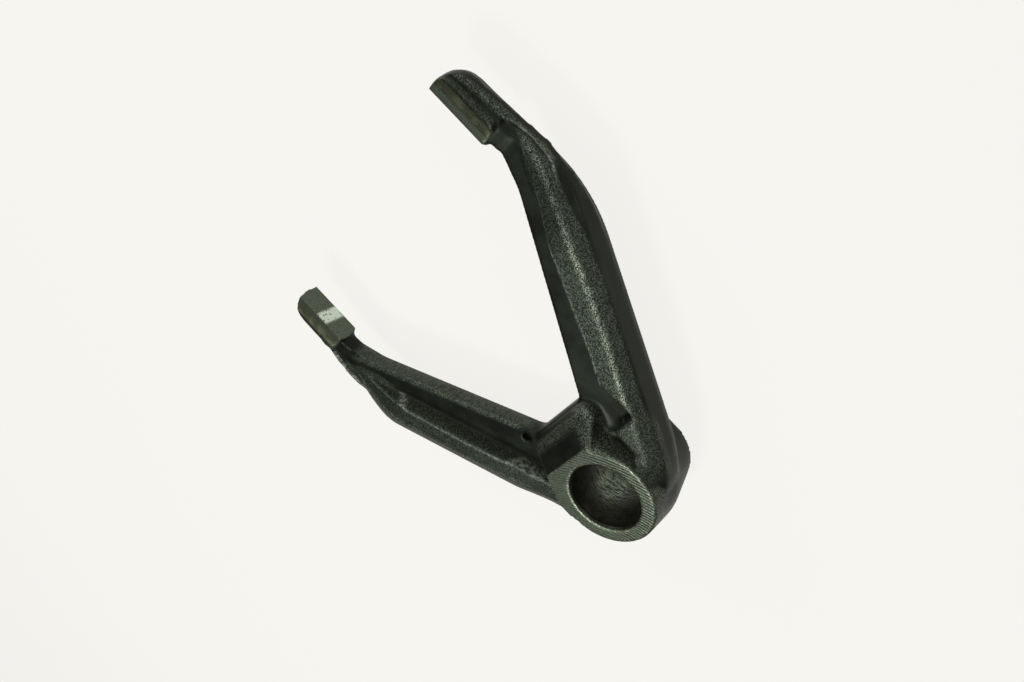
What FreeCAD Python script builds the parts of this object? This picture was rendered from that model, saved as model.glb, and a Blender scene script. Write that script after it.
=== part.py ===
# Shift fork: one steel forging with a bored hub, two ribbed arms and two milled pads.
# Frame: the origin is on the bore axis at the hub's back face, +Z runs along the bore
# to the front face, +Y points to the pads, and the part is symmetric about X = 0
# apart from the hub's corner lug and the pin hole. All sizes are in millimetres.
import FreeCAD, Part
import math
import os
import Sketcher
from FreeCAD import Vector

doc = FreeCAD.newDocument("shift_fork")

# Driving dimensions
sizes = {
    # Bore and hub
    "bore_diameter": 23.4,
    "bore_chamfer": 0.8,
    "hub_length": 29.0,
    "hub_radius": 19.1,
    "hub_front_draft": 8.4,
    "hub_back_draft": 7.1,
    # Heights from the parting plane
    "parting_height": 16.1,
    "back_depth": 2.9,
    "web_rise": 3.2,
    "rib_rise": 9.5,
    "tip_rise": 4.2,
    "pad_rise": 5.7,
    "pad_back_depth": 3.9,
    # Arm outline at the parting plane
    "crotch_reach": 27.8,
    "crotch_half_width": 11.9,
    "crotch_radius": 3.5,
    "arm_inner_slope": 0.678,
    "arm_inner_clear": 1.2,
    "inner_bend_reach": 83.8,
    "inner_bend_radius": 24.0,
    "inner_end_reach": 93.6,
    "inner_end_radius": 8.0,
    "root_side": 20.9,
    "root_reach": -8.0,
    "root_radius": 34.0,
    "heel_side": 12.2,
    "heel_reach": -13.2,
    "outer_bend_side": 67.0,
    "outer_bend_reach": 72.3,
    "outer_bend_radius": 42.0,
    "back_bend_side": 65.5,
    "back_bend_reach": 69.8,
    "back_bend_radius": 50.0,
    "tip_side": 62.9,
    "tip_radius": 9.5,
    "reach": 120.8,
    "arm_draft": 5.0,
    "back_draft": 10.0,
    # Flanges at the tips
    "flange_start": 74.0,
    "flange_root_side": 64.0,
    "flange_side": 66.9,
    "flange_reach": 84.5,
    "flange_radius": 20.0,
    "flange_rise": 2.6,
    "flange_lip": 0.2,
    # Ribs
    "rib_root_side": 19.0,
    "rib_root_reach": 12.8,
    "rib_bend_side": 54.8,
    "rib_bend_reach": 77.0,
    "rib_nose_side": 62.4,
    "rib_nose_reach": 94.5,
    "rib_turn_radius": 12.0,
    "rib_fall_reach": 66.0,
    "rib_foot_reach": 88.0,
    "fall_crest_radius": 25.0,
    "fall_foot_radius": 20.0,
    "foot_dip": 0.25,
    "rib_bevel_width": 4.6,
    "rib_bevel_drop": 2.7,
    "left_rib_reach": 18.0,
    "left_rib_run": 10.0,
    "left_rib_drop": 1.5,
    "left_rib_radius": 40.0,
    # Boss between the hub and the crotch, and its corner lug
    "corner_radius": 2.0,
    "boss_left": 14.2,
    "boss_right": 16.5,
    "boss_flat_reach": 15.9,
    "boss_facet_reach": 24.0,
    "boss_facet_drop": 5.5,
    "boss_end_clear": 0.8,
    "boss_lobe_drop": 5.5,
    "boss_slope_start": 14.2,
    "boss_slope_side": 10.5,
    "boss_slope_toe": 17.6,
    "lug_side": 19.3,
    "lug_reach": 1.5,
    "lug_toe_side": 15.1,
    "lug_toe_reach": -11.0,
    "lug_shoulder_side": 19.0,
    "lug_shoulder_reach": 7.0,
    # Pads
    "fork_gap": 106.0,
    "pad_length": 22.4,
    "pad_stock": 0.8,
    "pad_width": 8.8,
    "mill_depth": 0.9,
    "mill_width": 2.8,
    "ramp_width": 3.0,
    "ramp_rise": 0.45,
    # How far the cuts reach past the metal
    "cut_over": 10.0,
    # Pin hole in the left arm's web
    "pin_diameter": 3.0,
    "pin_side": 17.9,
    "pin_reach": 28.4,
}

dims = doc.addObject("Spreadsheet::Sheet", "dims")
for row, (name, value) in enumerate(sizes.items(), start=1):
    dims.set("A%d" % row, name)
    dims.set("B%d" % row, str(value))
    dims.setAlias("B%d" % row, name)
doc.recompute()


def size(name):
    return float(dims.get(name))


body = doc.addObject("PartDesign::Body", "shift_fork")
body.Label = "shift_fork"
planes = {feature.Role: feature for feature in body.Origin.OriginFeatures}


def sketch_on(name, plane, height):
    """An empty sketch on one of the body's own origin planes."""
    sketch = body.newObject("Sketcher::SketchObject", name)
    sketch.AttachmentSupport = (planes[plane], [""])
    sketch.MapMode = "FlatFace"
    sketch.setExpression("AttachmentOffset.Base.z", height)
    return sketch


def number(value):
    """The plain number of an expression's result."""
    return float(getattr(value, "Value", value))


def outline(name, plane, height, points):
    """A closed outline whose corners, and the radii that round them, are bound to the sheet.

    A point is (across, along) or (across, along, radius), each an expression.
    """
    sketch = sketch_on(name, plane, height)
    corners = [Vector(*[number(sketch.evalExpression(text)) for text in point[:2]], 0) for point in points]
    starts, ends, arcs = [], [], {}
    for i, point in enumerate(points):
        here = corners[i]
        to_last = (corners[i - 1] - here).normalize()
        to_next = (corners[(i + 1) % len(corners)] - here).normalize()
        if len(point) == 2:
            ends.append(here)
            starts.append(here)
            continue
        radius = number(sketch.evalExpression(point[2]))
        half = to_last.getAngle(to_next) / 2
        ends.append(here + to_last * (radius / math.tan(half)))
        starts.append(here + to_next * (radius / math.tan(half)))
        middle = here + (to_last + to_next).normalize() * (radius / math.sin(half) - radius)
        arcs[i] = Part.Arc(ends[i], middle, starts[i])
    for i in range(len(points)):
        following = (i + 1) % len(points)
        sketch.addGeometry(Part.LineSegment(starts[i], ends[following]), False)
    for i, point in enumerate(points):
        before = (i - 1) % len(points)
        if i not in arcs:
            sketch.addConstraint(Sketcher.Constraint("Coincident", before, 2, i, 1))
            spot, spot_end = i, 1
        else:
            arc = sketch.addGeometry(arcs[i], False)
            first = 1 if (sketch.getPoint(arc, 1) - ends[i]).Length < 1e-6 else 2
            sketch.addConstraint(Sketcher.Constraint("Tangent", before, 2, arc, first))
            sketch.addConstraint(Sketcher.Constraint("Tangent", i, 1, arc, 3 - first))
            bind(sketch, "Radius", (arc, 1.0), "r%d" % i, point[2])
            spot, spot_end = sketch.addGeometry(Part.Point(corners[i]), True), 1
            sketch.addConstraint(Sketcher.Constraint("PointOnObject", spot, 1, before))
            sketch.addConstraint(Sketcher.Constraint("PointOnObject", spot, 1, i))
        bind(sketch, "DistanceX", (-1, 1, spot, spot_end, 1.0), "x%d" % i, point[0])
        bind(sketch, "DistanceY", (-1, 1, spot, spot_end, 1.0), "y%d" % i, point[1])
    return sketch


def bind(sketch, kind, arguments, label, text):
    """Add one dimension to a sketch and tie it to an expression."""
    value = number(sketch.evalExpression(text))
    index = sketch.addConstraint(Sketcher.Constraint(kind, *arguments[:-1], value))
    sketch.renameConstraint(index, label)
    sketch.setExpression("Constraints." + label, text)


def disc(name, height, radius, across="0", along="0"):
    """A circle in a plane square to the bore."""
    sketch = sketch_on(name, "XY_Plane", height)
    sketch.addGeometry(Part.Circle(Vector(0, 0, 0), Vector(0, 0, 1), 1.0), False)
    bind(sketch, "Radius", (0, 1.0), "radius", radius)
    bind(sketch, "DistanceX", (-1, 1, 0, 3, 1.0), "across", across)
    bind(sketch, "DistanceY", (-1, 1, 0, 3, 1.0), "along", along)
    return sketch


def add(name, sketch, length, draft="0 deg", backward=False):
    """Pad a sketch away from its plane, drawn in by the draft angle."""
    pad = body.newObject("PartDesign::Pad", name)
    pad.Profile = sketch
    pad.Reversed = backward
    pad.setExpression("Length", length)
    pad.setExpression("TaperAngle", draft)
    sketch.Visibility = False
    doc.recompute()
    return pad


def cut(name, sketch, length, draft="0 deg", through=False, both=False):
    """Pocket a sketch into the body."""
    pocket = body.newObject("PartDesign::Pocket", name)
    pocket.Profile = sketch
    pocket.SideType = "Symmetric" if both else "One side"
    if through:
        pocket.Type = "ThroughAll"
    else:
        pocket.setExpression("Length", length)
        pocket.setExpression("TaperAngle", draft)
    doc.recompute()
    return pocket


def mirrored(points):
    """Right-hand corners from the bottom up, followed by the same on the left."""
    return points + [("-(%s)" % point[0],) + point[1:] for point in reversed(points)]


def edges_where(test):
    """Names of the body's edges that pass a test."""
    shape = body.Tip.Shape
    return ["Edge%d" % (i + 1) for i, edge in enumerate(shape.Edges) if test(edge)]


# Arms: one drafted blank with both arms, as high as the ribs
inner_side = "dims.fork_gap / 2 + dims.arm_inner_clear"
bend_rise = "dims.arm_inner_slope * (dims.inner_bend_reach - dims.crotch_reach)"
outer_bend = ("dims.outer_bend_side", "dims.outer_bend_reach", "dims.outer_bend_radius")
back_bend = ("dims.back_bend_side", "dims.back_bend_reach", "dims.back_bend_radius")
arm_points = [
    ("dims.heel_side", "dims.heel_reach"),
    ("dims.root_side", "dims.root_reach", "dims.root_radius"),
    outer_bend,
    ("dims.tip_side", "dims.reach", "dims.tip_radius"),
    ("dims.fork_gap / 2 - dims.pad_stock", "dims.reach"),
    ("dims.fork_gap / 2 - dims.pad_stock", "dims.reach - dims.pad_length"),
    (inner_side, "dims.reach - dims.pad_length - dims.arm_inner_clear"),
    (inner_side, "dims.inner_end_reach", "dims.inner_end_radius"),
    ("dims.crotch_half_width + " + bend_rise, "dims.inner_bend_reach", "dims.inner_bend_radius"),
    ("dims.crotch_half_width", "dims.crotch_reach", "dims.crotch_radius"),
]
blank = outline("arm_outline", "XY_Plane", "dims.parting_height", mirrored(arm_points))
back_points = [back_bend if point is outer_bend else point for point in arm_points]
back = outline("back_outline", "XY_Plane", "dims.parting_height", mirrored(back_points))
add("arms_front", blank, "dims.rib_rise", "-dims.arm_draft")

# The front falls in a smooth ramp from the ribs' level to the web's level at the tips
web_level = "dims.parting_height + dims.web_rise"
rib_level = "dims.parting_height + dims.rib_rise"
tip_level = "dims.parting_height + dims.tip_rise"
fall = outline("fall_outline", "YZ_Plane", "0", [
    ("dims.rib_fall_reach - dims.cut_over", rib_level),
    ("dims.rib_fall_reach", rib_level, "dims.fall_crest_radius"),
    ("dims.rib_foot_reach", web_level + " - dims.foot_dip", "dims.fall_foot_radius"),
    ("dims.reach - dims.pad_length", tip_level),
    ("dims.reach + dims.cut_over", tip_level),
    ("dims.reach + dims.cut_over", rib_level + " + dims.cut_over"),
    ("dims.rib_fall_reach - dims.cut_over", rib_level + " + dims.cut_over"),
])
cut("rib_fall", fall, "", through=True, both=True)

# The left rib also falls towards the hub, to clear the corner lug
left_level = rib_level + " - dims.left_rib_drop"
left_fall = outline("left_fall_outline", "YZ_Plane", "0", [
    ("dims.left_rib_reach + dims.cut_over", rib_level),
    ("dims.left_rib_reach", rib_level, "dims.left_rib_radius"),
    ("dims.left_rib_reach - dims.left_rib_run", left_level, "dims.left_rib_radius"),
    ("dims.heel_reach - dims.cut_over", left_level),
    ("dims.heel_reach - dims.cut_over", rib_level + " + dims.cut_over"),
    ("dims.left_rib_reach + dims.cut_over", rib_level + " + dims.cut_over"),
])
cut("left_rib_fall", left_fall, "", through=True)


def outer_crest(edge):
    """The long straight outer edge of the front face on either arm."""
    middle = edge.valueAt((edge.FirstParameter + edge.LastParameter) / 2)
    high = edge.BoundBox.ZMin > size("parting_height") + size("rib_rise") - 0.01
    outside = abs(middle.x) > size("crotch_half_width") + size("arm_inner_slope") * middle.y
    return high and outside and edge.Length > size("outer_bend_reach") / 2


def bevel(name, names, drop, width):
    """Chamfer the named edges, and the edges that run on smoothly from them."""
    base = body.Tip
    chamfer = body.newObject("PartDesign::Chamfer", name)
    chamfer.Base = (base, names)
    chamfer.ChamferType = "Two distances"
    chamfer.setExpression("Size", drop)
    chamfer.setExpression("Size2", width)
    doc.recompute()
    return chamfer


bevel("rib_bevels", edges_where(outer_crest), "dims.rib_bevel_drop", "dims.rib_bevel_width")

# Flanges: below the bevels each arm swells a little at the bend and keeps its full width to the tip
flange_points = [
    ("dims.fork_gap / 2 + 2 * dims.arm_inner_clear", "dims.flange_start"),
    ("dims.flange_root_side", "dims.flange_start"),
    ("dims.flange_side", "dims.flange_reach", "dims.flange_radius"),
    ("dims.tip_side + dims.flange_lip", "dims.reach - dims.flange_lip", "dims.tip_radius"),
    ("dims.fork_gap / 2 + dims.flange_lip", "dims.reach - dims.flange_lip"),
    ("dims.fork_gap / 2 + dims.flange_lip", "dims.reach - dims.pad_length / 2"),
    ("dims.fork_gap / 2 + 2 * dims.arm_inner_clear", "dims.reach - dims.pad_length / 2"),
]
for side, sign in (("right", ""), ("left", "-1 * ")):
    corners = [(sign + "(%s)" % point[0],) + point[1:] for point in flange_points]
    flange = outline(side + "_flange_outline", "XY_Plane", "dims.parting_height", corners)
    add(side + "_flange", flange, "dims.flange_rise", "-dims.arm_draft")

# Web: the floor between the ribs, left lower than the ribs by a drafted pocket
web_points = [
    ("dims.hub_radius / 2", "0"),
    ("dims.rib_root_side - 2", "0"),
    ("dims.rib_root_side", "dims.rib_root_reach / 2"),
    ("dims.rib_root_side", "dims.rib_root_reach", "dims.rib_turn_radius / 2"),
    ("dims.rib_bend_side", "dims.rib_bend_reach", "dims.rib_turn_radius * 2"),
    ("dims.rib_nose_side", "dims.rib_nose_reach"),
    ("dims.fork_gap / 2 - 4", "dims.rib_nose_reach + 1"),
]
web = outline("web_outline", "XY_Plane", rib_level, mirrored(web_points))
cut("web", web, "dims.rib_rise - dims.web_rise", "-dims.arm_draft")
add("arms_back", back, "dims.back_depth", "-dims.back_draft", backward=True)

# Hub: a barrel drafted both ways from the parting plane
barrel = disc("barrel_outline", "dims.parting_height", "dims.hub_radius")
add("hub_front", barrel, "dims.hub_length - dims.parting_height", "-dims.hub_front_draft")
add("hub_back", barrel, "dims.parting_height", "-dims.hub_back_draft", backward=True)

# Valley: the web rises beside the hub until it meets the ribs' tops
valley = outline("valley_outline", "YZ_Plane", "0", [
    ("0", web_level + " - 1"),
    ("dims.rib_root_reach", web_level + " - 1"),
    ("dims.rib_root_reach", web_level),
    ("1", rib_level + " - 1"),
    ("0", rib_level + " - 1"),
])
ramp = body.newObject("PartDesign::Pad", "valley")
ramp.Profile = valley
ramp.SideType = "Symmetric"
ramp.setExpression("Length", "2 * dims.rib_root_side")
doc.recompute()

# Boss: the hub's front runs out to the crotch under a sloping facet, with a corner lug
boss_points = [
    ("-dims.bore_diameter / 4", "dims.lug_toe_reach"),
    ("-dims.lug_toe_side", "dims.lug_toe_reach", "dims.corner_radius"),
    ("-dims.lug_side", "dims.lug_reach", "3 * dims.corner_radius"),
    ("-dims.lug_shoulder_side", "dims.lug_shoulder_reach", "4 * dims.corner_radius"),
    ("-dims.boss_left", "dims.boss_flat_reach + 0.6", "dims.corner_radius"),
    ("-dims.boss_left", "dims.crotch_reach - dims.boss_end_clear", "1.5 * dims.corner_radius"),
    ("dims.boss_right * 0.75", "dims.crotch_reach - dims.boss_end_clear", "dims.corner_radius"),
    ("dims.boss_right", "dims.crotch_reach - dims.boss_lobe_drop", "dims.corner_radius"),
    ("dims.boss_right * 0.62", "dims.boss_flat_reach - 2.5"),
    ("dims.bore_diameter / 4", "-dims.bore_diameter / 4"),
]
boss = outline("boss_outline", "XY_Plane", "dims.parting_height", list(reversed(boss_points)))
add("boss", boss, "dims.hub_length - dims.parting_height", "-dims.arm_draft")
facet = outline("facet_outline", "YZ_Plane", "0", [
    ("dims.boss_flat_reach", "dims.hub_length"),
    ("dims.boss_facet_reach", "dims.hub_length - dims.boss_facet_drop"),
    ("dims.crotch_reach", "dims.parting_height + dims.web_rise"),
    ("dims.crotch_reach + dims.cut_over", "dims.hub_length + dims.cut_over"),
    ("dims.boss_flat_reach", "dims.hub_length + dims.cut_over"),
])
cut("facet", facet, "2 * dims.rib_root_side - 1", both=True)

# The boss's right side slopes down to the web
slope_middle = "-(dims.boss_slope_start + dims.crotch_reach) / 2"
slope = outline("slope_outline", "XZ_Plane", slope_middle, [
    ("dims.boss_slope_side", "dims.hub_length"),
    ("dims.boss_slope_toe", web_level),
    ("dims.boss_slope_toe + dims.cut_over", web_level),
    ("dims.boss_slope_toe + dims.cut_over", "dims.hub_length + dims.cut_over"),
    ("dims.boss_slope_side", "dims.hub_length + dims.cut_over"),
])
cut("right_slope", slope, "dims.crotch_reach - dims.boss_slope_start", both=True)

# Pads: raised blocks at the tips, each milled on its front face beside the gap
pad_points = [
    ("dims.fork_gap / 2 - dims.pad_stock", "dims.reach - dims.pad_length"),
    ("dims.fork_gap / 2 + dims.pad_width", "dims.reach - dims.pad_length", "3"),
    ("dims.fork_gap / 2 + dims.pad_width - 0.6", "dims.reach - 1", "6"),
    ("dims.fork_gap / 2 - dims.pad_stock", "dims.reach"),
]
for side, sign in (("right", ""), ("left", "-1 * ")):
    corners = [(sign + "(%s)" % point[0],) + point[1:] for point in pad_points]
    block = outline(side + "_pad_outline", "XY_Plane", "dims.parting_height", corners)
    add(side + "_pad", block, "dims.pad_rise", "-dims.arm_draft")
    add(side + "_pad_back", block, "dims.pad_back_depth", "-dims.arm_draft", backward=True)
    face = "dims.parting_height + dims.pad_rise - dims.mill_depth"
    mill = outline(side + "_mill_profile", "XZ_Plane", "-dims.reach + dims.pad_length / 2", [
        (sign + "(dims.fork_gap / 2 - 2)", face),
        (sign + "(dims.fork_gap / 2 + dims.mill_width)", face),
        (sign + "(dims.fork_gap / 2 + dims.mill_width + dims.ramp_width)", face + " + dims.ramp_rise"),
        (sign + "(dims.fork_gap / 2 + dims.mill_width + dims.ramp_width + 0.4)", face + " + 3"),
        (sign + "(dims.fork_gap / 2 - 2)", face + " + 3"),
    ])
    cut(side + "_mill", mill, "dims.pad_length + 3", both=True)
gap_points = [
    ("dims.fork_gap / 2", "dims.reach - dims.pad_length - 2 * dims.arm_inner_clear"),
    ("dims.fork_gap / 2", "dims.reach + 2"),
]
gap = outline("gap_outline", "XY_Plane", "0", mirrored(gap_points))
cut("gap", gap, "", through=True, both=True)

# Bore with a chamfer at each mouth, and the pin hole
bore = disc("bore_outline", "dims.hub_length", "dims.bore_diameter / 2")
cut("bore", bore, "", through=True)
pin = disc("pin_outline", "dims.parting_height + dims.web_rise", "dims.pin_diameter / 2",
           "-dims.pin_side", "dims.pin_reach")
cut("pin_hole", pin, "", through=True)


def bore_mouth(edge):
    """A full circle of the bore's own radius."""
    curve = edge.Curve
    return isinstance(curve, Part.Circle) and abs(curve.Radius - size("bore_diameter") / 2) < 1e-6


drilled = body.Tip
mouth_edges = edges_where(bore_mouth)
mouths = body.newObject("PartDesign::Chamfer", "bore_mouths")
mouths.Base = (drilled, mouth_edges)
mouths.setExpression("Size", "dims.bore_chamfer")
doc.recompute()

# Write the part only if every feature is sound
for item in doc.Objects:
    if "Invalid" in item.State or "Error" in item.State:
        raise RuntimeError("%s failed: %s" % (item.Label, item.State))
if body.Shape.isNull() or not body.Shape.isValid() or len(body.Shape.Solids) != 1:
    raise RuntimeError("the body is not one valid solid")
os.makedirs("parts", exist_ok=True)
body.Shape.exportStep("parts/%s.step" % body.Label)
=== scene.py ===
"""Looks of the shift fork: a finer forged mesh, steel, a pale floor and soft lights."""
import math

import bpy
import bmesh
import numpy as np
from mathutils import Matrix, Vector


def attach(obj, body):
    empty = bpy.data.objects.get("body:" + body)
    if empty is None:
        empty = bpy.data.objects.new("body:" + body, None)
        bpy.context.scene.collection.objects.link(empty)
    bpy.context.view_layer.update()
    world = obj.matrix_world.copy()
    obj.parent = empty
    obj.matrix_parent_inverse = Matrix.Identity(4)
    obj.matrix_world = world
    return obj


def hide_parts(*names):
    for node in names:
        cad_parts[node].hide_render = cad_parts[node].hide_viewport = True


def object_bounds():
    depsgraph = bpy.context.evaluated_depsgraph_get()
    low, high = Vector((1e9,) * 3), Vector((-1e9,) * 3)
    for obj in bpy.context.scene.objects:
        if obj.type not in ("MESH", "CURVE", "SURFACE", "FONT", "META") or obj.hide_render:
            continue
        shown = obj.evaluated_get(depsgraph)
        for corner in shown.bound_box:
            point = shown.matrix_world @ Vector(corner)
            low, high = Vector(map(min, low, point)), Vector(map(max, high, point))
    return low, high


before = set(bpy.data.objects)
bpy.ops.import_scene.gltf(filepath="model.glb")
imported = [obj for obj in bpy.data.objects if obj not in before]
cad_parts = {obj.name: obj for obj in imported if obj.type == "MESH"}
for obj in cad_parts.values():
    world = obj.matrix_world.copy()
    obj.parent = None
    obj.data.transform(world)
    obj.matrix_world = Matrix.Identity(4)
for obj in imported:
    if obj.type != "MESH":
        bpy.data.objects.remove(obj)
cad_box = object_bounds()

MM = 0.001

# Sizes of the part, in millimetres, as in the CAD model. An arm's inner edge is a line from
# the crotch that moves outward by the slope.
HUB_LENGTH = 29.0
MOUTH_RADIUS = 12.5
GAP_HALF = 53.0
PAD_START = 98.4
BAND_EDGE = 55.8
RAMP_EDGE = 58.8
CROTCH_REACH = 27.8
ARM_SLOPE = 0.678

# Set for the looks, in millimetres: the inner edge's half width at the crotch, the boss's
# crest, and how much lower the granular rib may lie near the tip
CROTCH_HALF = 12.0
BOSS_CREST = 24.4
TIP_DROP = 1.6

# Lines along an arm as (distance from the mid plane, distance from the bore), in millimetres
CREST = ((17.3, 1), (19, 7.3), (18.8, 12.7), (21.8, 17.8), (25, 24), (28.9, 29.4), (33.9, 37.5),
         (40.6, 50), (47.4, 62.5), (50.5, 72), (53.6, 80), (57.3, 86), (61.1, 90.5), (62.8, 94.2),
         (63.9, 97.1))
RIDGE = ((19.3, 1.1), (22.8, 7.2), (27.3, 14.6), (30.3, 20.6), (37.5, 31.25), (48.4, 50),
         (57.2, 68.75), (60.6, 80), (62.8, 90), (63.9, 97))
CREASE = ((20.6, -6), (23.6, -1.5), (29.1, 7.4), (32.5, 15.6), (42, 31.25), (53, 50),
          (59.4, 62.5), (62.5, 75.3), (64.3, 81), (65, 85), (65.2, 91.4), (64.3, 95.6),
          (63.4, 97.8), (62.5, 100.6), (62.1, 106.7), (61.7, 112.1), (60.8, 116.4))

# Where things lie on the part. Each share is a product of ramps, and each ramp is a measure of
# the vertex, the value where the share is none and the value where it is full. Lengths are in
# millimetres, and "up" is the upward part of the normal.
ON_PAD = ("y", PAD_START - 0.6, PAD_START - 0.2)
ABOVE_PAD = ("z", 20.4, 20.7)
CUT_SHARES = {
    "face": (("z", HUB_LENGTH - 0.25, HUB_LENGTH - 0.1),),
    "bore": (("around", MOUTH_RADIUS + 0.25, MOUTH_RADIUS + 0.05),),
    "back": (("z", 0.25, 0.1),),
    "gap": (("side", GAP_HALF + 0.35, GAP_HALF + 0.1), ON_PAD),
    "band": (ON_PAD, ("side", BAND_EDGE + 0.2, BAND_EDGE - 0.1), ABOVE_PAD),
    "ramp": (ON_PAD, ("side", BAND_EDGE - 0.1, BAND_EDGE + 0.2),
             ("side", RAMP_EDGE + 0.3, RAMP_EDGE - 0.1), ABOVE_PAD),
}
SHARES = {
    # Forms
    "root": (("around", 27, 22), ("z", 24, 19)),
    "round_ridge": (("from_ridge", 3.5, 1.5), ("z", 21, 23)),
    "hump": (("x", 5, 8), ("x", 18, 15), ("y", 10, 13), ("y", 28, 25), ("z", 20, 21)),
    "sloped_flange": (("from_crease", 0.5, -0.3), ("y", 78, 84), ("y", 119, 117), ("z", 17.2, 18)),
    # Granular skin
    "rib_top": (("from_crest", -0.6, 0.1), ("from_crease", -0.9, 0.1), ("rib_z", 19.9, 20.6),
                ("y", -8, -3), ("y", 97, 90)),
    "left_slope": (("left", 14, 18), ("from_crest", -6.5, -3.5), ("from_crease", -0.9, 0.1),
                   ("z", 19.7, 20.6), ("y", 14, 18), ("y", 90, 84)),
    "left_edge": (("left", 14, 18), ("from_inside", 4, 2.2), ("up", 0.3, 0.7), ("y", 30, 34),
                  ("y", 94, 88), ("z", 17.5, 18.5)),
    "shoulder": (("z", 21, 24), ("y", 17, 15), ("x", 3, 7), ("from_crest", -0.5, -1.5)),
    "boss_ridge": (("from_boss", 3.6, 0.6), ("side", 18, 15), ("z", 21, 22.5)),
    "lobe": (("x", 6, 9), ("x", 18.5, 16.5), ("y", 11, 14.5), ("y", 28, 26), ("z", 19.7, 20.5)),
    "flange": (("from_crease", -0.1, -0.5), ("y", 79, 84), ("up", 0.2, 0.5)),
    "pad_rim": (("y", PAD_START - 1, PAD_START), ("z", 20.6, 21.2),
                ("side", RAMP_EDGE, RAMP_EDGE + 0.4)),
    # Painted highlight along the ridge, bright lines along the crest and crease, and marks
    "ridge_highlight_line": (("from_ridge", 1.7, 0.2), ("y", 4, 26)),
    "crest_line": (("near_crest", 0.55, 0.15), ("y", 0, 6), ("z", 19.6, 20.2)),
    "crease_line": (("near_crease", 0.55, 0.15), ("y", 76, 82), ("y", 99, 97)),
    "trim": (("near_inside", 2.4, 1.2), ("up", 0.7, 0.4), ("z", 9, 11), ("y", 28, 32),
             ("y", 97, 94)),
    "patch": (("from_patch", 2.8, 2), ("left", 0, 1)),
}

# How much each share adds to the granular skin and to the bare bright specks
GRAIN_WEIGHTS = {"rib_top": 1, "left_slope": 1, "left_edge": 1, "shoulder": 1, "boss_ridge": 1,
                 "lobe": 1, "flange": 0.8, "pad_rim": 0.7}
BARE_WEIGHTS = {"lobe": 0.5, "boss_ridge": 0.3, "shoulder": 0.3, "left_edge": 0.3, "flange": 0.3}

# The fine mesh: its pitch and weld distance in millimetres, how many steps each rounding takes,
# how much a machined face is smoothed, and how far and how strongly the inner corners reach
VOXEL = 0.52
WELD_DISTANCE = 0.001
SKIN_STEPS = 3
CORNER_STEPS = 12
RIDGE_STEPS = 16
ROOT_STEPS = 40
HUMP_STEPS = 24
FLANGE_STEPS = 3
LEAST_SMOOTHING = 0.05
CORNER_BLUR = 10
CORNER_GAIN = 6.0

# The flange's top: its level at the crease, its fall per millimetre and the widest it gets
FLANGE_LEVEL = 19.9
FLANGE_FALL = 0.55
FLANGE_WIDTH = 6

# The painted reflection in the bore, and the polished patch on the left pad whose bright colour is
# partly a painted reflection, in millimetres
REFLECTION_PLACE = (-11.3, -2.9, 12.5)
REFLECTION_SIZE = 5.5
REFLECTION_GAIN = 1.6
PATCH_REACH = 108.2
PATCH_LEAN = 0.15
PATCH_LEVEL = 16

# Colours as display values from 0 to 255
SCALE_DARK = (25, 29, 23)
SCALE_LIGHT = (38, 43, 35)
SCALE_BROWN = (56, 52, 42)
GRAIN_DARK = (28, 32, 25)
GRAIN_LIGHT = (82, 90, 77)
GRAIN_STAIN = (36, 40, 31)
# Bare specks, and also the colour of the painted highlight along the ridge
BARE_SPECK_AND_HIGHLIGHT = (160, 168, 150)
# Bright lines along the rib's crest and the flange's crease
EDGE_LINE_TONE = (150, 158, 142)
WORN_EDGE = (118, 126, 110)
# Painted shade in corners and creases
CREASE_SHADE = (22, 25, 19)
# Olive tone of the pads' ramps
RAMP_TONE_DARK = (74, 78, 58)
RAMP_TONE_LIGHT = (96, 100, 80)
TRIM_DARK = (46, 51, 43)
TRIM_LIGHT = (78, 84, 73)
CUT_DARK = (70, 77, 64)
CUT_LIGHT = (100, 108, 92)
CUT_EDGE = (160, 168, 148)
BORE_DARK = (34, 31, 23)
BORE_LIGHT = (52, 52, 42)
# Painted reflection in the bore
BORE_REFLECTION = (175, 190, 165)
# Polished patch, whose bright colour is partly a painted reflection
POLISHED_AND_REFLECTION = (208, 220, 204)
FEED_DARK = (34, 39, 30)
PAPER = (246, 244, 240)
PAPER_MATTE = (232, 230, 226)

# Noise scales, per metre, and how two of the patterns are scaled along the bore
CLOUD_SCALE = 90.0
FEED_WOBBLE_SCALE = 260.0
PATCH_SCALE = 320.0
STREAK_SCALE = 420.0
MOTTLE_SCALE = 900.0
SPECK_SCALE = 2400.0
TRIM_SCALE = 3200.0
TRIM_STRETCH = 0.12
STREAK_STRETCH = 7.0

# Tool marks, in millimetres: arcs over the hub's face round a far centre, rings in the bore.
# The arcs are weak at the left and strong at the right.
FEED_CENTRE = (-48.0, -36.0)
FEED_PITCH = 1.05
RING_PITCH = 0.8
FEED_WOBBLE = 0.8
FEED_WEAK = -12.0
FEED_STRONG = 10.0
BUMP_DEPTH = 0.16

# Surroundings: the floor's half width in metres and its depth below the part in millimetres,
# the strengths of the paper's glow and of the sky, and where the lamps point, in millimetres
FLOOR_HALF = 3.0
FLOOR_CLEAR = 0.2
FLOOR_GLOW_SHARE = 0.9
FLOOR_SEEN = 1.03
FLOOR_MIRRORED = 0.85
SKY_TINT = (0.97, 1.0, 0.96, 1.0)
SKY_OVERHEAD = 0.75
SKY_FRONT = 0.30
SKY_BASE = 0.07
LAMP_TARGET = (0.0, 50.0, 15.0)

# The camera as fitted to the photograph: place, axes, lens, film and nearest distance. Lengths
# are in millimetres.
CAMERA_PLACE = (188.776, 50.771, 202.708)
CAMERA_RIGHT = (0.51036, -0.68652, -0.51790)
CAMERA_UP = (0.49754, 0.72693, -0.47331)
CAMERA_BACK = (0.70142, -0.01612, 0.71257)
CAMERA_LENS = 29.055
CAMERA_SENSOR = 36.0
CAMERA_NEAR = 10.0


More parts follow.
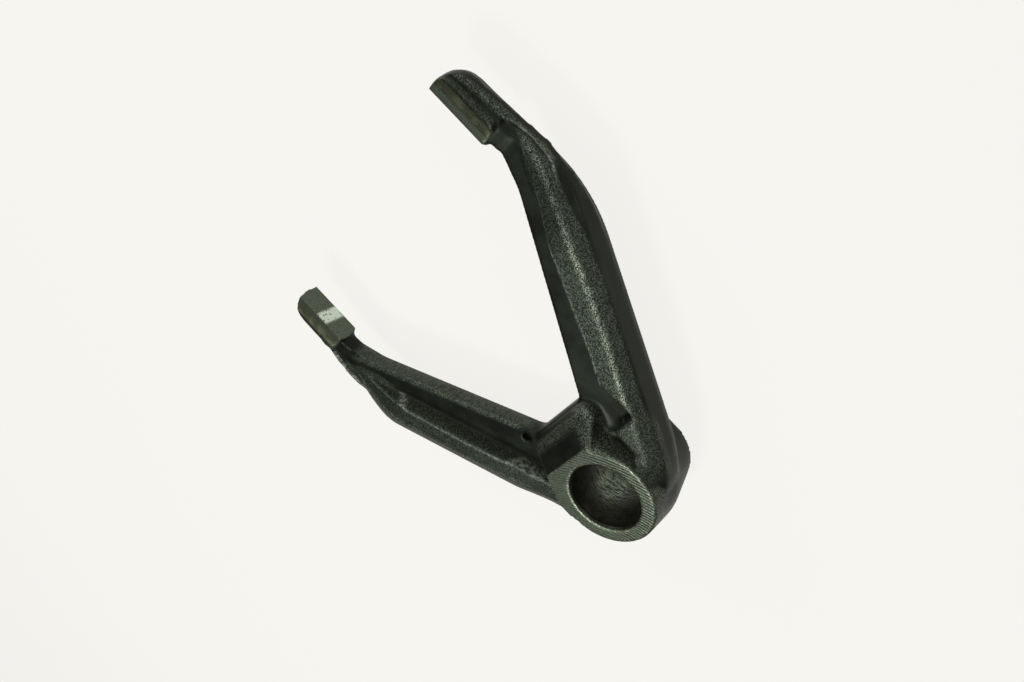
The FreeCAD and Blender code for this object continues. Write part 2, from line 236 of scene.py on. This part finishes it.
# ---------------------------------------------------------------- mesh tools
def evaluated(obj):
    """Replace an object's mesh by the result of its modifiers."""
    graph = bpy.context.evaluated_depsgraph_get()
    result = bpy.data.meshes.new_from_object(obj.evaluated_get(graph))
    obj.modifiers.clear()
    obj.data = result
    return result


def read(collection, name, kind, width):
    """A collection's values as rows."""
    flat = np.empty(len(collection) * width, kind)
    collection.foreach_get(name, flat)
    return flat.reshape(-1, width)


def coordinates():
    """The vertices in millimetres."""
    return read(mesh.vertices, "co", np.float32, 3).astype(float) / MM


def normals():
    """The vertices' normals."""
    return read(mesh.vertex_normals, "vector", np.float32, 3).astype(float)


def neighbour_mean(values):
    """The mean of each vertex's neighbours."""
    a, b = pairs[:, 0], pairs[:, 1]
    count = len(values)
    degree = np.bincount(a, minlength=count) + np.bincount(b, minlength=count)
    total = np.empty_like(values)
    for k in range(values.shape[1]):
        total[:, k] = np.bincount(a, values[b, k], count) + np.bincount(b, values[a, k], count)
    return total / degree[:, None]


def relax(values, weight, steps, factor=0.5):
    """Smooth the values, each as much as its weight says."""
    for _ in range(steps):
        values = values + factor * weight[:, None] * (neighbour_mean(values) - values)
    return values


def blurred(values, steps, factor=1.0):
    """Numbers blurred over the surface."""
    return relax(values[:, None], everywhere, steps, factor)[:, 0]


def ramp(value, none, full):
    """0 at none and before it, 1 at full and past it, and smooth between them."""
    part = np.clip((value - none) / (full - none), 0, 1)
    return part * part * (3 - 2 * part)


def across(line, y):
    """How far a line along the arm is from the mid plane, at distances y."""
    return np.interp(y, [p[1] for p in line], [p[0] for p in line])


def measure(points, facing):
    """What the ramps read at each vertex."""
    x, y, z = points.T
    side = np.abs(x)
    from_crest = side - across(CREST, y)
    from_crease = across(CREASE, y) - side
    from_inside = side - (CROTCH_HALF + ARM_SLOPE * (y - CROTCH_REACH))
    return {
        "x": x, "y": y, "z": z, "left": -x, "side": side, "up": facing[:, 2],
        "around": np.hypot(x, y),
        "rib_z": z + TIP_DROP * ramp(y, 70, 76),
        "from_crest": from_crest, "near_crest": np.abs(from_crest),
        "from_crease": from_crease, "near_crease": np.abs(from_crease),
        "from_inside": from_inside, "near_inside": np.abs(from_inside),
        "from_ridge": np.abs(side - across(RIDGE, y)),
        "from_boss": np.abs(y - BOSS_CREST),
        "from_patch": np.abs(y - PATCH_REACH - PATCH_LEAN * (z - PATCH_LEVEL)),
    }


def share(ramps, measures):
    """The product of a share's ramps at each vertex."""
    return math.prod(ramp(measures[name], none, full) for name, none, full in ramps)


def bending(points, facing):
    """How sharply the surface bends at each vertex: above 0 on edges, below 0 in corners."""
    offset = neighbour_mean(points) - points
    return -(offset * facing).sum(1) / VOXEL


def give(name, values):
    """Store numbers on the vertices for the material."""
    layer = mesh.attributes.new(name, "FLOAT", "POINT")
    layer.data.foreach_set("value", np.asarray(values, np.float32))


# ---------------------------------------------------------------- the forging
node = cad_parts["shift_fork"]
forging = bpy.data.objects.new("forging", node.data.copy())
bpy.context.scene.collection.objects.link(forging)
welded = bmesh.new()
welded.from_mesh(forging.data)
bmesh.ops.remove_doubles(welded, verts=welded.verts, dist=WELD_DISTANCE * MM)
welded.to_mesh(forging.data)
welded.free()
remesh = forging.modifiers.new("fine", "REMESH")
remesh.mode = "VOXEL"
remesh.voxel_size = VOXEL * MM
mesh = evaluated(forging)

# Round the forged skin and keep the machined faces sharp
points = coordinates()
facing = normals()
pairs = read(mesh.edges, "vertices", np.int32, 2)
everywhere = np.ones(len(points))
at = measure(points, facing)
cut = {name: share(ramps, at) for name, ramps in CUT_SHARES.items()}
machined = np.clip(sum(cut.values()), 0, 1)
forged = 1 - machined
inner_bends = np.clip(-bending(points, facing) * 2, 0, 1)
corners = np.clip(blurred(inner_bends, CORNER_BLUR) * CORNER_GAIN, 0, 1)
points = relax(points, LEAST_SMOOTHING + (1 - LEAST_SMOOTHING) * forged, SKIN_STEPS)
points = relax(points, corners * forged, CORNER_STEPS)
points = relax(points, share(SHARES["round_ridge"], at) * forged, RIDGE_STEPS)
points = relax(points, share(SHARES["root"], at) * forged, ROOT_STEPS)
points = relax(points, share(SHARES["hump"], at) * forged, HUMP_STEPS)

# The flange outside the rib's outer crease slopes outward, from the bend to the tip
at = measure(points, facing)
sloped = share(SHARES["sloped_flange"], at) * forged
flange_top = FLANGE_LEVEL - FLANGE_FALL * np.clip(-at["from_crease"], 0, FLANGE_WIDTH)
points[:, 2] += sloped * (flange_top - at["z"]) * ramp(at["up"], 0.2, 0.6)
points = relax(points, sloped, FLANGE_STEPS)
mesh.vertices.foreach_set("co", (points * MM).astype(np.float32).ravel())
mesh.update()

# Numbers that the material reads
points = coordinates()
facing = normals()
at = measure(points, facing)
on = {name: share(ramps, at) for name, ramps in SHARES.items()}
bend = blurred(bending(points, facing), 2, 0.5)
grain = np.clip(sum(weight * on[name] for name, weight in GRAIN_WEIGHTS.items()), 0, 1)
# The painted highlight along the rib's ridge, and bare specks on the granular skin
bare_and_ridge_highlight = on["ridge_highlight_line"] * on["rib_top"]
bare_and_ridge_highlight = bare_and_ridge_highlight + sum(weight * on[name] for name, weight in BARE_WEIGHTS.items())
# A painted reflection: a bright spot on the bore's deep wall
reflection_x, reflection_y, reflection_z = REFLECTION_PLACE
reflection_across = np.hypot(at["x"] - reflection_x, at["y"] - reflection_y) / REFLECTION_SIZE
bore_reflection = REFLECTION_GAIN * np.exp(-((at["z"] - reflection_z) / REFLECTION_SIZE) ** 2 - reflection_across ** 2)
give("grain", grain * forged)
give("machined", np.clip(machined - cut["ramp"], 0, 1))
give("ramp_tone", cut["ramp"])
give("face", cut["face"])
give("bore", cut["bore"] * (1 - cut["face"]))
give("bare_specks_and_highlight", np.clip(bare_and_ridge_highlight, 0, 1))
give("trim", on["trim"] * forged)
give("line", np.clip(on["crest_line"] + on["crease_line"], 0, 1) * forged)
give("outline", cut["face"] * ramp(blurred(cut["face"], 3), 0.98, 0.75))
give("bore_reflection", np.clip(bore_reflection, 0, 1) * cut["bore"])
give("worn", np.clip(bend * 3 - 0.15, 0, 1) * (1 - 0.7 * machined))
# Painted shade in inner corners and creases
give("crease_shade", np.clip(-bend * 4, 0, 1))
# The polished patch, which also carries a painted reflection
give("polish_and_reflection", cut["gap"] * on["patch"])
for polygon in mesh.polygons:
    polygon.use_smooth = True


# ---------------------------------------------------------------- materials
class Tree:
    """Short calls for building a node tree."""

    def __init__(self, owner):
        owner.use_nodes = True
        self.nodes = owner.node_tree.nodes
        self.links = owner.node_tree.links
        self.nodes.clear()

    def put(self, socket, value):
        """Link a socket to another one, or set its value."""
        if isinstance(value, bpy.types.NodeSocket):
            self.links.new(value, socket)
        else:
            socket.default_value = value

    def add(self, kind, inputs=(), **settings):
        """A new node with its settings and inputs."""
        made = self.nodes.new(kind)
        for key, value in settings.items():
            setattr(made, key, value)
        for key, value in dict(inputs).items():
            self.put(made.inputs[key], value)
        return made

    def math(self, operation, *values):
        """The result of one sum on numbers."""
        made = self.add("ShaderNodeMath", operation=operation)
        for socket, value in zip(made.inputs, values):
            self.put(socket, value)
        return made.outputs[0]

    def times(self, a, b):
        """The product of two numbers."""
        return self.math("MULTIPLY", a, b)

    def plus(self, a, b):
        """The sum of two numbers."""
        return self.math("ADD", a, b)

    def mix(self, factor, a, b):
        """A colour or a number part way from a to b."""
        is_colour = isinstance(b, tuple) or getattr(b, "type", "") == "RGBA"
        made = self.add("ShaderNodeMix", data_type="RGBA" if is_colour else "FLOAT")
        first = 6 if is_colour else 2
        self.put(made.inputs[0], factor)
        self.put(made.inputs[first], a)
        self.put(made.inputs[first + 1], b)
        return made.outputs[2 if is_colour else 0]

    def attribute(self, name):
        """A number stored on the vertices."""
        return self.add("ShaderNodeAttribute", attribute_name=name).outputs["Fac"]

    def noise(self, where, scale, detail=2.0, roughness=0.5):
        """A noise pattern."""
        made = self.add("ShaderNodeTexNoise", {"Vector": where, "Scale": scale, "Detail": detail,
                                               "Roughness": roughness})
        return made.outputs["Fac"]

    def stretched(self, where, along):
        """Coordinates with another scale along the bore."""
        made = self.add("ShaderNodeMapping", {"Vector": where, "Scale": (1.0, 1.0, along)})
        return made.outputs[0]

    def spread(self, value, low, high, out_low=0.0, out_high=1.0):
        """out_low below low, out_high above high, and smooth between them."""
        made = self.add("ShaderNodeMapRange", interpolation_type="SMOOTHSTEP")
        for key, number in (("Value", value), ("From Min", low), ("From Max", high),
                            ("To Min", out_low), ("To Max", out_high)):
            self.put(made.inputs[key], number)
        return made.outputs["Result"]


def linear(value):
    """A linear share of light from a display value of 0 to 255."""
    value = value / 255
    return value / 12.92 if value <= 0.04045 else ((value + 0.055) / 1.055) ** 2.4


def colour(display):
    """A linear colour from its display values."""
    return tuple(linear(value) for value in display) + (1.0,)


def tool_marks(t, where, face, bore):
    """Arcs over the hub's face and rings in the bore, as a wave between -1 and 1."""
    px, py, pz = t.add("ShaderNodeSeparateXYZ", {"Vector": where}).outputs
    away_x = t.plus(px, -FEED_CENTRE[0] * MM)
    away_y = t.plus(py, -FEED_CENTRE[1] * MM)
    away = t.math("SQRT", t.plus(t.times(away_x, away_x), t.times(away_y, away_y)))
    wobble = t.times(t.noise(where, FEED_WOBBLE_SCALE), FEED_WOBBLE * MM)
    arcs = t.math("SINE", t.times(t.plus(away, wobble), 2 * math.pi / (FEED_PITCH * MM)))
    rings = t.math("SINE", t.times(t.plus(pz, wobble), 2 * math.pi / (RING_PITCH * MM)))
    to_the_right = t.spread(px, FEED_WEAK * MM, FEED_STRONG * MM, 0.4, 1.0)
    return t.mix(bore, t.times(arcs, face), rings), t.mix(face, 1.0, to_the_right)


def steel():
    """Forged steel with dark scale, granular ribs, bare edges and machined faces."""
    material = bpy.data.materials.new("forged_steel")
    t = Tree(material)
    where = t.add("ShaderNodeTexCoord").outputs["Object"]
    grain, worn, crease_shade, bare_specks_and_highlight, machined, ramp_tone, face = [t.attribute(name) for name in (
        "grain", "worn", "crease_shade", "bare_specks_and_highlight", "machined", "ramp_tone", "face")]
    bore, polish_and_reflection, line, outline, bore_reflection, trim = [t.attribute(name) for name in (
        "bore", "polish_and_reflection", "line", "outline", "bore_reflection", "trim")]
    cloud = t.noise(where, CLOUD_SCALE, 4.0, 0.6)
    patches = t.noise(where, PATCH_SCALE, 3.0, 0.6)
    mottle = t.noise(where, MOTTLE_SCALE, 2.0, 0.6)
    specks = t.noise(where, SPECK_SCALE, 2.0, 0.65)
    upright = t.noise(t.stretched(where, TRIM_STRETCH), TRIM_SCALE, 2.0, 0.6)
    streaks = t.noise(t.stretched(where, STREAK_STRETCH), STREAK_SCALE, 3.0, 0.7)

    # Dark smooth scale and greyer granular skin
    smooth = t.mix(t.spread(cloud, 0.35, 0.7), colour(SCALE_DARK), colour(SCALE_LIGHT))
    smooth = t.mix(t.spread(patches, 0.58, 0.78, 0.0, 0.45), smooth, colour(SCALE_BROWN))
    rough = t.mix(t.spread(specks, 0.42, 0.64), colour(GRAIN_DARK), colour(GRAIN_LIGHT))
    rough = t.mix(t.spread(mottle, 0.5, 0.75, 0.0, 0.5), rough, colour(GRAIN_STAIN))
    forged = t.mix(grain, smooth, rough)

    # Bare specks and a painted highlight along the ridge, bright edge lines, worn edges, painted
    # shade in the hollows, the pads' olive ramps and the trimmed walls
    bare_specks_and_highlight = t.times(bare_specks_and_highlight, t.spread(patches, 0.35, 0.6, 0.4, 1.0))
    for amount, pattern, tone in (
            (bare_specks_and_highlight, t.spread(specks, 0.44, 0.62, 0.0, 0.7), BARE_SPECK_AND_HIGHLIGHT),
            (line, t.spread(mottle, 0.42, 0.6, 0.1, 0.8), EDGE_LINE_TONE),
            (worn, t.spread(patches, 0.35, 0.65, 0.15, 0.75), WORN_EDGE),
            (crease_shade, 0.5, CREASE_SHADE)):
        forged = t.mix(t.times(amount, pattern), forged, colour(tone))
    ramp_toned = t.mix(t.spread(patches, 0.4, 0.6), colour(RAMP_TONE_DARK), colour(RAMP_TONE_LIGHT))
    trimmed = t.mix(t.spread(upright, 0.42, 0.6), colour(TRIM_DARK), colour(TRIM_LIGHT))
    forged = t.mix(ramp_tone, forged, ramp_toned)
    forged = t.mix(trim, forged, trimmed)

    # Machined faces: a bright outline on the hub's face, a painted reflection in the bore
    cut_steel = t.mix(t.spread(specks, 0.3, 0.7), colour(CUT_DARK), colour(CUT_LIGHT))
    cut_steel = t.mix(t.times(outline, t.spread(mottle, 0.42, 0.65, 0.0, 0.7)), cut_steel,
                      colour(CUT_EDGE))
    bore_and_reflection = t.mix(t.spread(patches, 0.35, 0.65), colour(BORE_DARK), colour(BORE_LIGHT))
    # The painted reflection on the bore's wall
    bore_and_reflection = t.mix(t.times(bore_reflection, t.spread(streaks, 0.42, 0.56)), bore_and_reflection, colour(BORE_REFLECTION))
    base = t.mix(machined, forged, cut_steel)
    base = t.mix(bore, base, bore_and_reflection)
    # The polished patch: lower roughness, and a bright colour that is partly a painted reflection
    base = t.mix(t.times(polish_and_reflection, t.spread(mottle, 0.3, 0.42)), base, colour(POLISHED_AND_REFLECTION))

    # Tool marks, stronger on the right
    marks, to_the_right = tool_marks(t, where, face, bore)
    strong = t.times(t.spread(patches, 0.3, 0.6, 0.35, 1.0), to_the_right)
    strong = t.times(strong, t.spread(mottle, 0.36, 0.56, 0.45, 1.0))
    marks = t.times(marks, strong)
    base = t.mix(t.times(machined, t.spread(marks, 0.05, 0.6, 0.0, 0.85)), base, colour(FEED_DARK))

    height = t.times(specks, t.mix(grain, 0.05, 0.8))
    height = t.plus(height, t.times(mottle, t.mix(grain, 0.08, 0.35)))
    height = t.plus(height, t.times(patches, t.mix(grain, 0.3, 0.4)))
    height = t.mix(machined, height, t.times(marks, -0.25))
    bump = t.add("ShaderNodeBump", {"Height": height, "Strength": 0.8, "Distance": BUMP_DEPTH * MM})
    roughness = t.mix(machined, t.mix(grain, t.spread(cloud, 0.3, 0.7, 0.38, 0.52), 0.46), 0.4)
    roughness = t.mix(polish_and_reflection, roughness, 0.22)
    shader = t.add("ShaderNodeBsdfPrincipled", {
        "Base Color": base, "Metallic": 0.7, "Roughness": roughness, "Specular IOR Level": 0.3,
        "Normal": bump.outputs["Normal"]})
    t.add("ShaderNodeOutputMaterial", {"Surface": shader.outputs[0]})
    return material


mesh.materials.clear()
mesh.materials.append(steel())
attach(forging, "root")
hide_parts("shift_fork")


# ---------------------------------------------------------------- floor, sky and lamps
def floor_material():
    """Pale paper that keeps a faint shadow, and is darker where the steel mirrors it."""
    material = bpy.data.materials.new("pale_floor")
    t = Tree(material)
    rays = t.add("ShaderNodeLightPath")
    seen = t.math("MAXIMUM", rays.outputs["Is Camera Ray"], rays.outputs["Is Glossy Ray"])
    level = t.mix(rays.outputs["Is Camera Ray"], FLOOR_MIRRORED, FLOOR_SEEN)
    matte = t.add("ShaderNodeBsdfDiffuse", {"Color": colour(PAPER_MATTE)})
    glow = t.add("ShaderNodeEmission", {"Color": colour(PAPER), "Strength": level})
    both = t.add("ShaderNodeMixShader", {0: t.times(seen, FLOOR_GLOW_SHARE), 1: matte.outputs[0],
                                         2: glow.outputs[0]})
    t.add("ShaderNodeOutputMaterial", {"Surface": both.outputs[0]})
    return material


def sky():
    """A sky that is bright overhead and toward the front, and plain paper to the camera."""
    world = bpy.data.worlds.new("studio")
    t = Tree(world)
    direction = t.add("ShaderNodeTexCoord").outputs["Generated"]
    toward_x, _, toward_z = t.add("ShaderNodeSeparateXYZ", {"Vector": direction}).outputs
    overhead = t.times(t.spread(toward_z, 0.80, 0.97), SKY_OVERHEAD)
    front = t.times(t.spread(toward_x, -0.2, 0.8), SKY_FRONT)
    level = t.plus(t.plus(overhead, front), SKY_BASE)
    seen = t.add("ShaderNodeLightPath").outputs["Is Camera Ray"]
    light = t.add("ShaderNodeBackground", {"Color": t.mix(seen, SKY_TINT, colour(PAPER)),
                                           "Strength": t.mix(seen, level, 1.0)})
    t.add("ShaderNodeOutputWorld", {"Surface": light.outputs[0]})
    return world


def lamp(name, direction, distance, size, power):
    """A soft square lamp that points at the middle of the part, in metres and watts."""
    data = bpy.data.lights.new(name, "AREA")
    data.size = size
    data.energy = power
    made = bpy.data.objects.new(name, data)
    way = Vector(direction).normalized()
    made.location = Vector(LAMP_TARGET) * MM + way * distance
    made.rotation_euler = way.to_track_quat("Z", "Y").to_euler()
    bpy.context.scene.collection.objects.link(made)


floor_mesh = bpy.data.meshes.new("floor")
floor_corners = [(along * FLOOR_HALF, up * FLOOR_HALF, 0)
                 for along, up in ((-1, -1), (1, -1), (1, 1), (-1, 1))]
floor_mesh.from_pydata(floor_corners, [], [(0, 1, 2, 3)])
floor_mesh.materials.append(floor_material())
floor = bpy.data.objects.new("floor", floor_mesh)
floor.location.z = cad_box[0][2] - FLOOR_CLEAR * MM
bpy.context.scene.collection.objects.link(floor)

bpy.context.scene.world = sky()
lamp("key", (-0.33, -0.24, 0.92), distance=0.8, size=0.16, power=3.0)
lamp("front", (0.85, -0.15, 0.50), distance=0.9, size=0.5, power=1.5)
lamp("side", (0.1, 0.9, 0.4), distance=0.9, size=0.5, power=3.0)


# ---------------------------------------------------------------- camera
camera_data = bpy.data.cameras.new("camera")
camera_data.sensor_width = CAMERA_SENSOR
camera_data.lens = CAMERA_LENS
camera_data.clip_start = CAMERA_NEAR * MM
camera = bpy.data.objects.new("camera", camera_data)
turned = Matrix((CAMERA_RIGHT, CAMERA_UP, CAMERA_BACK)).transposed().to_4x4()
camera.matrix_world = Matrix.Translation(Vector(CAMERA_PLACE) * MM) @ turned
bpy.context.scene.collection.objects.link(camera)
bpy.context.scene.camera = camera
bpy.context.scene.view_settings.view_transform = "Standard"
